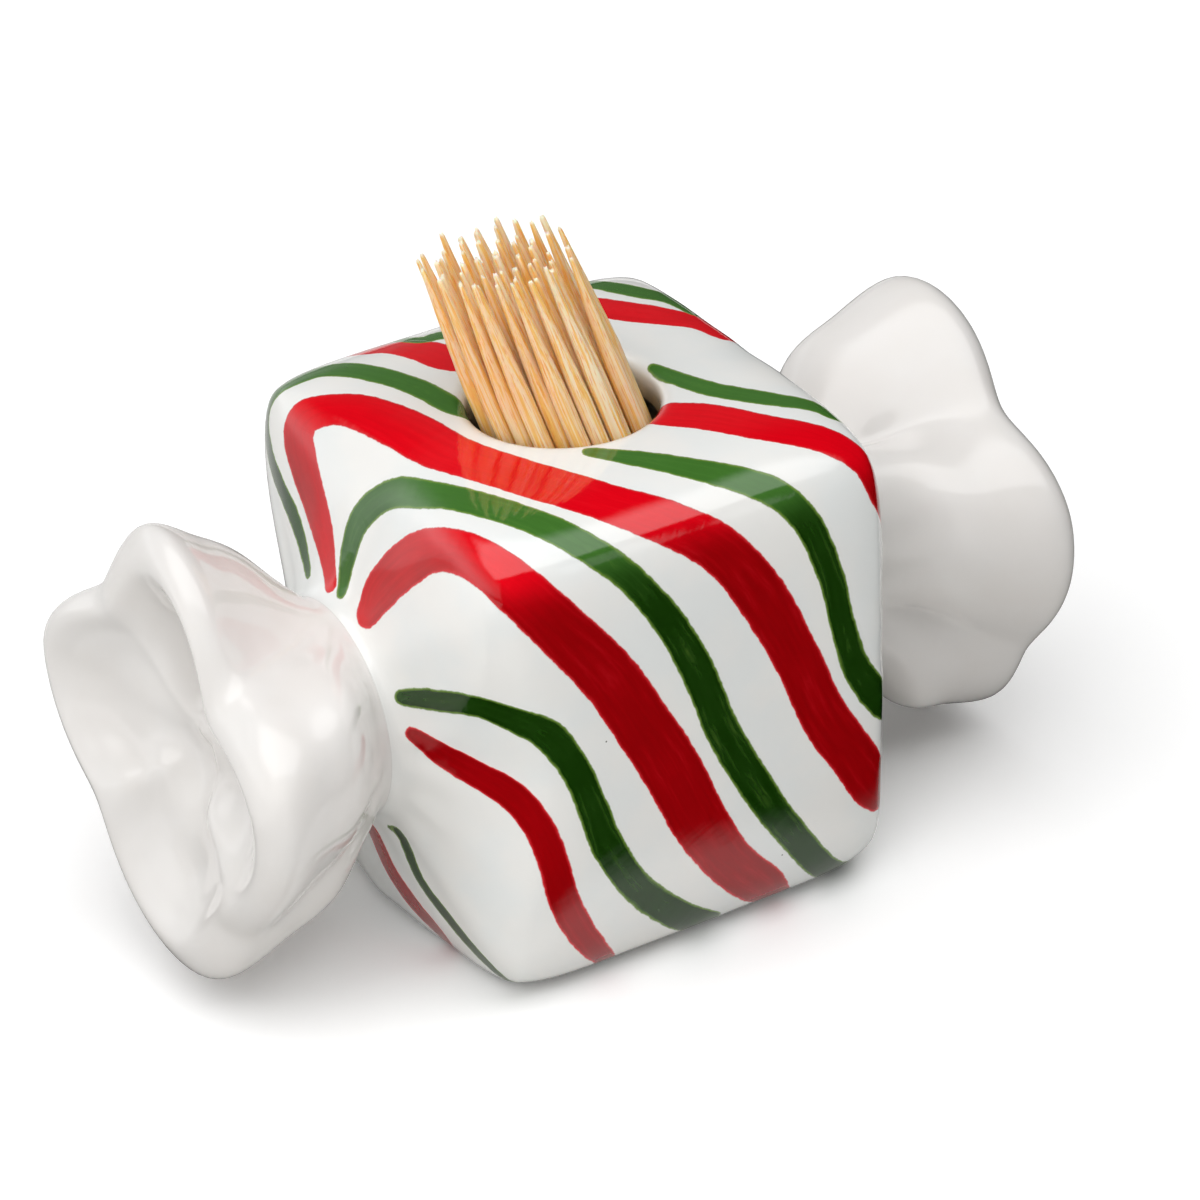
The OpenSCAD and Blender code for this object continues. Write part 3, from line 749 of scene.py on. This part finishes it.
def make_pick(node, axis, material, seed):
    """A toothpick with its own wear, from rings along the solid's axis."""
    rng = np.random.default_rng(seed)
    foot, length = pick_frame(node, axis)
    at_mouth = foot + axis * (BODY_H - foot[2]) / axis[2]
    worn = PICK_WORN * rng.uniform() + PICK_SHORT * max(0, (at_mouth[0] / MOUTH_R + 1) / 2) ** 1.5
    length -= worn
    out = np.cross(axis, [0, 1, 0])
    out /= np.linalg.norm(out)
    other = np.cross(axis, out)
    turns = 2 * math.pi * np.arange(PICK_SIDES) / PICK_SIDES
    stations = np.concatenate([
        [0, PICK_BEVEL], np.linspace(SHAFT_START, length - PICK_TAPER, SHAFT_RINGS)[:-1],
        np.linspace(length - PICK_TAPER, length - PICK_END, TAPER_RINGS)])
    lobes = 1 + sum(height * np.sin(count * turns + rng.uniform(0, 6.3)) for count, height in PICK_LOBES)
    tip = PICK_TIP_R * rng.uniform(*TIP_SIZES)
    shaft = PICK_R * rng.uniform(*SLIMNESS)
    bow = rng.uniform(-PICK_BOW, PICK_BOW, 2)
    power = rng.uniform(*TAPER_POWERS)
    heading = rng.uniform(0, 2 * math.pi)
    drift = PICK_DRIFT * rng.uniform(*DRIFT_SHARES) * (out * math.cos(heading) + other * math.sin(heading))
    points, values = [], []
    for s in stations:
        u = np.clip((s - length + PICK_TAPER) / PICK_TAPER, 0, 1)
        radius = shaft - PICK_BEVEL if s == 0 else shaft * (1 - u ** power) + tip * u ** power
        swing = math.sin(math.pi * s / length)
        middle = foot + axis * s + (out * bow[0] + other * bow[1]) * swing + drift * u ** 1.5
        r = radius * lobes * (1 + rng.normal(0, PICK_ROUGHNESS, PICK_SIDES))
        points.append(middle + np.outer(r * np.cos(turns), out) + np.outer(r * np.sin(turns), other))
        values.append(np.full(PICK_SIDES, s + worn))
    fray = np.clip(rng.normal(0, FRAY, PICK_SIDES), -MOST_FRAY, MOST_FRAY)
    points.append(points[-1] + np.outer(FRAY_RISE + fray, axis) + (middle - points[-1]) * FRAY_CLOSE)
    values.append(np.full(PICK_SIDES, length + worn))
    points.append(np.array([middle + axis * END_RISE, foot]))
    values.append(np.array([length + worn, 0]))
    rows = len(stations) + 1
    faces = ring_quads(rows, PICK_SIDES)
    last = (rows - 1) * PICK_SIDES
    top, bottom = rows * PICK_SIDES, rows * PICK_SIDES + 1
    faces += [(last + i, top, last + (i + 1) % PICK_SIDES) for i in range(PICK_SIDES)]
    faces += [(i, (i + 1) % PICK_SIDES, bottom) for i in range(PICK_SIDES)]
    faces = [face[::-1] for face in faces]
    piece = new_piece("pick_" + node[-2:], np.concatenate(points), faces, material)
    set_attribute(piece, "along", np.concatenate(values) / MM)
    set_attribute(piece, "pick", np.full(len(piece.data.vertices), rng.uniform()))
    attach(piece, node)
    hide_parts(node)


# Materials

class Nodes:
    """A node tree, with short calls for what the materials and the light here use."""

    def __init__(self, owner):
        owner.use_nodes = True
        self.owner = owner
        self.tree = owner.node_tree
        self.tree.nodes.clear()

    def set(self, node, name, value):
        if isinstance(value, bpy.types.NodeSocket):
            self.tree.links.new(value, node.inputs[name])
        else:
            node.inputs[name].default_value = value

    def add(self, kind, inputs=None, **settings):
        node = self.tree.nodes.new(kind)
        for name, value in settings.items():
            setattr(node, name, value)
        for name, value in (inputs or {}).items():
            self.set(node, name, value)
        return node

    def surface(self, shader):
        self.add("ShaderNodeOutputMaterial", {"Surface": shader})
        return self.owner

    def principled(self, **inputs):
        inputs = {name.replace("_", " "): value for name, value in inputs.items()}
        return self.add("ShaderNodeBsdfPrincipled", inputs).outputs["BSDF"]

    def attribute(self, name):
        return self.add("ShaderNodeAttribute", attribute_name=name).outputs["Fac"]

    def math(self, operation, a, b):
        return self.add("ShaderNodeMath", {0: a, 1: b}, operation=operation).outputs[0]

    def plus(self, a, b):
        return self.math("ADD", a, b)

    def times(self, a, b):
        return self.math("MULTIPLY", a, b)

    def range(self, value, low, high, to_low=0.0, to_high=1.0, smooth=True):
        """The value carried from low and high over to to_low and to_high, and kept between them."""
        inputs = {
            "Value": value, "From Min": low, "From Max": high, "To Min": to_low, "To Max": to_high}
        kind = "SMOOTHSTEP" if smooth else "LINEAR"
        return self.add("ShaderNodeMapRange", inputs, interpolation_type=kind).outputs["Result"]

    def mix(self, share, a, b):
        node = self.add("ShaderNodeMix", data_type="RGBA")
        for i, value in ((0, share), (6, a), (7, b)):
            self.set(node, i, value)
        return node.outputs[2]

    def noise(self, vector, scale, detail, roughness=0.5):
        inputs = {"Vector": vector, "Scale": scale, "Detail": detail, "Roughness": roughness}
        return self.add("ShaderNodeTexNoise", inputs).outputs["Fac"]

    def millimetres(self):
        place = self.add("ShaderNodeTexCoord").outputs["Object"]
        return self.scaled(place, 1 / MM)

    def combine(self, x, y, z=0.0):
        return self.add("ShaderNodeCombineXYZ", {0: x, 1: y, 2: z}).outputs[0]

    def scaled(self, vector, factor):
        node = self.add("ShaderNodeVectorMath", {0: vector, 3: factor}, operation="SCALE")
        return node.outputs["Vector"]

    def along(self, vector, axis):
        """The vector's part along an axis."""
        node = self.add("ShaderNodeVectorMath", {0: vector, 1: axis}, operation="DOT_PRODUCT")
        return node.outputs["Value"]

    def product(self, values):
        total = values[0]
        for value in values[1:]:
            total = self.times(total, value)
        return total

    def bump(self, height, strength=1.0):
        """Normals for a height in millimetres."""
        inputs = {"Height": height, "Distance": MM, "Strength": strength}
        return self.add("ShaderNodeBump", inputs).outputs["Normal"]


# Tones of the white glaze, on the body and on the twists, where it is warmer and darker, partly as the
# twists' own tone and partly as painted warm shade
GLAZE_WHITE = (0.84, 0.835, 0.81, 1)
GLAZE_COOL = (0.80, 0.82, 0.81, 1)
GLAZE_WARM = (0.77, 0.745, 0.72, 1)
GLAZE_SOFT = (0.785, 0.765, 0.745, 1)
# Paints on the sides, darkened as painted shade, on the top, lightened as painted light, and at their
# edges, where they lie thin
RED_SHADED_SIDES = (0.29, 0.0005, 0.002, 1)
RED_LIT_TOP = (0.74, 0.001, 0.008, 1)
RED_THIN = (0.64, 0.02, 0.028, 1)
GREEN_SHADED_SIDES = (0.006, 0.032, 0.001, 1)
GREEN_LIT_TOP = (0.055, 0.17, 0.026, 1)
GREEN_THIN = (0.16, 0.27, 0.045, 1)
# Millimetres outside the edge of its stripe where paint starts and where it has finished to cover, and
# the same for its full tone
PAINT_COVERS = (0.07, -0.09)
PAINT_FULL = (-0.03, -0.35)
# Upward part of the skin's normal where the painted light on the paint's top begins, and where it is full
PAINT_TOP_LIGHT = (0.2, 0.85)
# The bare ring at the base, where the glaze starts and is whole at these heights in millimetres
BISQUE = (0.78, 0.72, 0.63, 1)
BARE_TO = (0.2, 0.35)
# Specks, whose edge is in cells of their pattern
SPECK = (0.05, 0.045, 0.04, 1)
SPECKS_PER_MM = 0.14
SPECK_EDGE = (0.016, 0.009)


def glaze_white(n, place, tones):
    """White tin glaze, faintly mottled."""
    return n.mix(n.range(n.noise(place, scale=0.11, detail=3), 0.35, 0.65), *tones)


def glaze_surface(n, place):
    """Height of the glaze in millimetres: slow swells and a fine orange peel."""
    swell = n.times(n.noise(place, scale=0.16, detail=2), 0.05)
    peel = n.times(n.noise(place, scale=0.9, detail=3), 0.006)
    return n.plus(swell, peel)


def white_glaze():
    n = Nodes(bpy.data.materials.new("white_glaze"))
    place = n.millimetres()
    normal = n.bump(glaze_surface(n, place))
    # The twists' warmer, darker tones are partly their own and partly painted warm shade
    colour = glaze_white(n, place, (GLAZE_WARM, GLAZE_SOFT))
    return n.surface(n.principled(
        Base_Color=colour, Roughness=0.09, IOR=1.47, Normal=normal, Coat_Weight=0.1, Coat_Roughness=0.03))


def painted_glaze():
    """White glaze with the painted stripes, bare at the base and with a few specks."""
    n = Nodes(bpy.data.materials.new("painted_glaze"))
    place = n.millimetres()
    colour = glaze_white(n, place, (GLAZE_WHITE, GLAZE_COOL))
    height = glaze_surface(n, place)
    ragged = n.noise(place, scale=0.8, detail=3, roughness=0.6)
    wobble = n.times(n.math("SUBTRACT", ragged, 0.5), 0.35)
    # Painted light and shade: the paint is lighter where the skin faces up and darker on the sides
    rise = n.along(n.add("ShaderNodeTexCoord").outputs["Normal"], (0, 0, 1))
    top_light = n.range(n.plus(rise, n.times(n.noise(place, scale=0.12, detail=2), 0.3)), *PAINT_TOP_LIGHT)
    paints = ((RED, RED_SHADED_SIDES, RED_LIT_TOP, RED_THIN), (GREEN, GREEN_SHADED_SIDES, GREEN_LIT_TOP, GREEN_THIN))
    for name, side_shade, top_lit, thin in paints:
        edge = n.plus(n.attribute(name), wobble)
        along = n.attribute(name + "_along")
        cover = n.range(edge, *PAINT_COVERS)
        full = n.range(edge, *PAINT_FULL)
        # Brush marks along the stripe, in its tone and in its height
        brush = n.combine(n.times(along, 0.12), n.times(edge, 1.6))
        streaks = n.noise(brush, scale=1, detail=3, roughness=0.6)
        # Painted light on the top of the paint, with lighter brush streaks in places
        top_light_and_streaks = n.plus(n.times(top_light, 0.85), n.range(streaks, 0.7, 0.3, 0.0, 0.15))
        inside = n.mix(top_light_and_streaks, side_shade, top_lit)
        shade = n.mix(n.times(full, n.range(streaks, 0.1, 0.45, 0.55, 1.0)), thin, inside)
        colour = n.mix(cover, colour, shade)
        broad = n.combine(n.times(along, 0.7), n.times(edge, 0.15))
        ridges = n.noise(broad, scale=1, detail=2)
        height = n.plus(height, n.times(n.plus(n.times(ridges, 0.03), 0.02), cover))
    cell = n.add("ShaderNodeTexVoronoi", {"Vector": place, "Scale": SPECKS_PER_MM})
    colour = n.mix(n.range(cell.outputs["Distance"], *SPECK_EDGE), colour, SPECK)
    above = n.add("ShaderNodeSeparateXYZ", {0: place}).outputs[2]
    above = n.plus(above, n.times(n.noise(place, scale=0.6, detail=2), 0.3))
    glazed = n.range(above, *BARE_TO)
    bare = n.mix(n.noise(place, scale=2.5, detail=4, roughness=0.7), BISQUE, GLAZE_WHITE)
    return n.surface(n.principled(
        Base_Color=n.mix(glazed, bare, colour), Roughness=n.range(glazed, 0, 1, 0.75, 0.07), IOR=1.5,
        Normal=n.bump(height), Coat_Weight=n.times(glazed, 0.3), Coat_Roughness=0.03))


BAMBOO_PALE = (1.0, 0.84, 0.60, 1)
BAMBOO_YELLOW = (0.98, 0.58, 0.15, 1)
BAMBOO_PINK = (1.0, 0.72, 0.43, 1)
BAMBOO_FIBRE = (0.85, 0.28, 0.02, 1)
BAMBOO_END = (1.0, 0.93, 0.78, 1)
# Millimetres along a toothpick where the tone of its broken tip begins and is reached
END_FROM = (64.5, 65.1)


def bamboo():
    """Bamboo with streaks along each toothpick, which glows warm where little light gets in."""
    n = Nodes(bpy.data.materials.new("bamboo"))
    along = n.attribute("along")
    each = n.attribute("pick")
    # Places across the bundle, which stay the same along a toothpick
    lean = frame["joints"][0]["axis"]
    split = n.add("ShaderNodeSeparateXYZ", {0: n.millimetres()}).outputs
    x = n.math("SUBTRACT", split[0], n.times(split[2], lean[0] / lean[2]))
    y = n.math("SUBTRACT", split[1], n.times(split[2], lean[1] / lean[2]))
    place = n.combine(x, y, n.times(along, 0.02))
    broad = n.noise(place, scale=0.9, detail=1)
    streaks = n.noise(place, scale=3.4, detail=3, roughness=0.65)
    fine = n.noise(n.combine(x, y, n.times(along, 0.05)), scale=8, detail=2, roughness=0.6)
    colour = n.mix(n.range(n.plus(broad, n.times(each, 0.3)), 0.45, 0.8), BAMBOO_PALE, BAMBOO_PINK)
    colour = n.mix(n.range(streaks, 0.46, 0.58, 0.0, 0.95), colour, BAMBOO_YELLOW)
    colour = n.mix(n.range(fine, 0.54, 0.68, 0.0, 0.55), colour, BAMBOO_FIBRE)
    colour = n.mix(n.range(along, *END_FROM, 0.0, 0.85), colour, BAMBOO_END)
    height = n.plus(n.times(fine, 0.03), n.times(streaks, 0.06))
    return n.surface(n.principled(
        Base_Color=colour, Roughness=0.42, Normal=n.bump(height, 0.6), Subsurface_Weight=0.4,
        Subsurface_Radius=(1, 0.3, 0.1), Subsurface_Scale=0.7 * MM))


# Distances from the floor's middle, in millimetres, over which its reflection fades out of the glaze
FLOOR_SEEN = (36, 46)
# Further off, to the left and behind, it comes back between these distances, taken along an axis
FAR_AXIS = (-0.64, 0.77, 0)
FAR_SEEN = (90, 45)
# Paper as it shades the object, and as a bright exposure shows it
PAPER = (0.78, 0.775, 0.76, 1)
PAPER_SEEN = (1.1, 1.1, 1.1, 1)


def floor_paper():
    """White paper, which the glaze reflects only close to the object."""
    n = Nodes(bpy.data.materials.new("floor_paper"))
    place = n.millimetres()
    rays = n.add("ShaderNodeLightPath").outputs
    paper = n.principled(Base_Color=n.mix(rays["Is Camera Ray"], PAPER, PAPER_SEEN), Roughness=0.9,
                         Specular_IOR_Level=0.1)
    distance = n.add("ShaderNodeVectorMath", {0: place}, operation="LENGTH").outputs["Value"]
    unseen = n.product([
        n.range(distance, *FLOOR_SEEN), n.range(n.along(place, FAR_AXIS), *FAR_SEEN),
        rays["Is Glossy Ray"]])
    dark = n.add("ShaderNodeBsdfDiffuse", {"Color": (0, 0, 0, 1)}).outputs[0]
    return n.surface(n.add("ShaderNodeMixShader", {0: unseen, 1: paper, 2: dark}).outputs[0])


# Stage and light

FLOOR_HALF = 3.0


def make_floor():
    corners = ((-1, -1), (1, -1), (1, 1), (-1, 1))
    points = [(FLOOR_HALF * x, FLOOR_HALF * y, 0) for x, y in corners]
    floor = new_piece("floor", points, [(0, 1, 2, 3)], floor_paper())


# Strength of each part of the sky as it lights the object, and as the glaze mirrors it
SOFTBOX = (1.8, 2.0)
SIDE_WALL = (0.38, 0.6)
GLARE = (0, 0.8)
STRIP = (0, 0.8)
AMBIENT = (0.24, 0.02)
# Share of the ambient light that is left at the far right
AMBIENT_RIGHT = 0.15
# The softbox overhead, on the plane one unit above the object, as [outward x, outward y, reach, blur]
SOFTBOX_EDGES = (
    (-0.3, -0.954, 0.75, 0.08), (0.707, 0.707, 0.42, 0.14), (-1, 0, 1.4, 0.4), (1, 0, 1.1, 0.3),
    (0, 1, 0.8, 0.3))
# A white wall stands behind, to the left, and is brighter towards the left. The glare is low on it, and
# like the strip it is only mirrored.
WALL_AXIS = (-0.574, 0.819, 0)
WALL_BRIGHT_AXIS = (-1, 0.09, 0)
# The strip is a narrow light in front, to the right
STRIP_AXIS = (0.454, -0.891, 0)
STRIP_ACROSS = (0.891, 0.454, 0)

# A soft lamp close by on the left, whose light falls off towards the right
LAMP_PLACE = Vector((-0.095, -0.115, 0.12))
LAMP_AIM = Vector((0, 0, 0.03))
LAMP_SIZE = 0.1
LAMP_POWER = 0.07


def make_lamp():
    data = bpy.data.lights.new("lamp", "AREA")
    data.energy = LAMP_POWER
    data.size = LAMP_SIZE
    lamp = bpy.data.objects.new("lamp", data)
    bpy.context.scene.collection.objects.link(lamp)
    turn = (LAMP_AIM - LAMP_PLACE).to_track_quat("-Z", "Y").to_matrix().to_4x4()
    lamp.matrix_world = Matrix.Translation(LAMP_PLACE) @ turn
    lamp.visible_camera = False
    lamp.visible_glossy = False


def make_light():
    """The studio round the object, as a sky that is bright where its lights are."""
    world = bpy.data.worlds.new("studio")
    n = Nodes(world)
    direction = n.add("ShaderNodeTexCoord").outputs["Generated"]
    rays = n.add("ShaderNodeLightPath").outputs
    up = n.along(direction, (0, 0, 1))
    # Where each ray meets the plane one unit above the object
    flat = n.scaled(direction, n.math("DIVIDE", 1, n.math("MAXIMUM", up, 0.01)))
    toward_wall, toward_strip = n.along(direction, WALL_AXIS), n.along(direction, STRIP_AXIS)
    across_strip = n.along(direction, STRIP_ACROSS)
    softbox = [n.range(n.along(flat, (x, y, 0)), reach + blur, reach - blur)
               for x, y, reach, blur in SOFTBOX_EDGES] + [n.range(up, 0.05, 0.2)]
    wall = [n.range(toward_wall, -0.1, 0.15), n.range(up, 0, 0.1), n.range(up, 0.7, 0.35),
            n.range(n.along(direction, WALL_BRIGHT_AXIS), -0.7, 1, smooth=False)]
    glare = [n.range(n.along(direction, FAR_AXIS), 0.3, 0.9), n.range(up, 0.4, 0.1)]
    strip = [n.range(toward_strip, 0, 0.2), n.range(across_strip, -0.07, -0.04),
             n.range(across_strip, 0.07, 0.04), n.range(up, 0.25, 0.32), n.range(up, 0.55, 0.48)]
    ambient = [n.range(n.along(direction, (1, 0, 0)), 0, 0.8, 1, AMBIENT_RIGHT)]

    def part(strengths, shape):
        return n.product([n.range(rays["Is Glossy Ray"], 0, 1, *strengths, smooth=False)] + shape)

    total = part(AMBIENT, ambient)
    for strengths, shape in ((SOFTBOX, softbox), (SIDE_WALL, wall), (GLARE, glare), (STRIP, strip)):
        total = n.plus(total, part(strengths, shape))
    strength = n.math("MAXIMUM", total, rays["Is Camera Ray"])
    sky = n.add("ShaderNodeBackground", {"Color": (1, 1, 1, 1), "Strength": strength}).outputs[0]
    n.add("ShaderNodeOutputWorld", {"Surface": sky})
    bpy.context.scene.world = world
    bpy.context.scene.view_settings.view_transform = "Standard"


make_camera()
make_body(painted_glaze())
white = white_glaze()
make_twist("wrapper_left", "left_twist", -1, LEFT_FOLDS, white)
make_twist("wrapper_right", "right_twist", 1, RIGHT_FOLDS, white)
wood = bamboo()
for number, joint in enumerate(frame["joints"]):
    make_pick(joint["child"], np.array(joint["axis"], float), wood, FIRST_PICK + number)
make_floor()
make_lamp()
make_light()
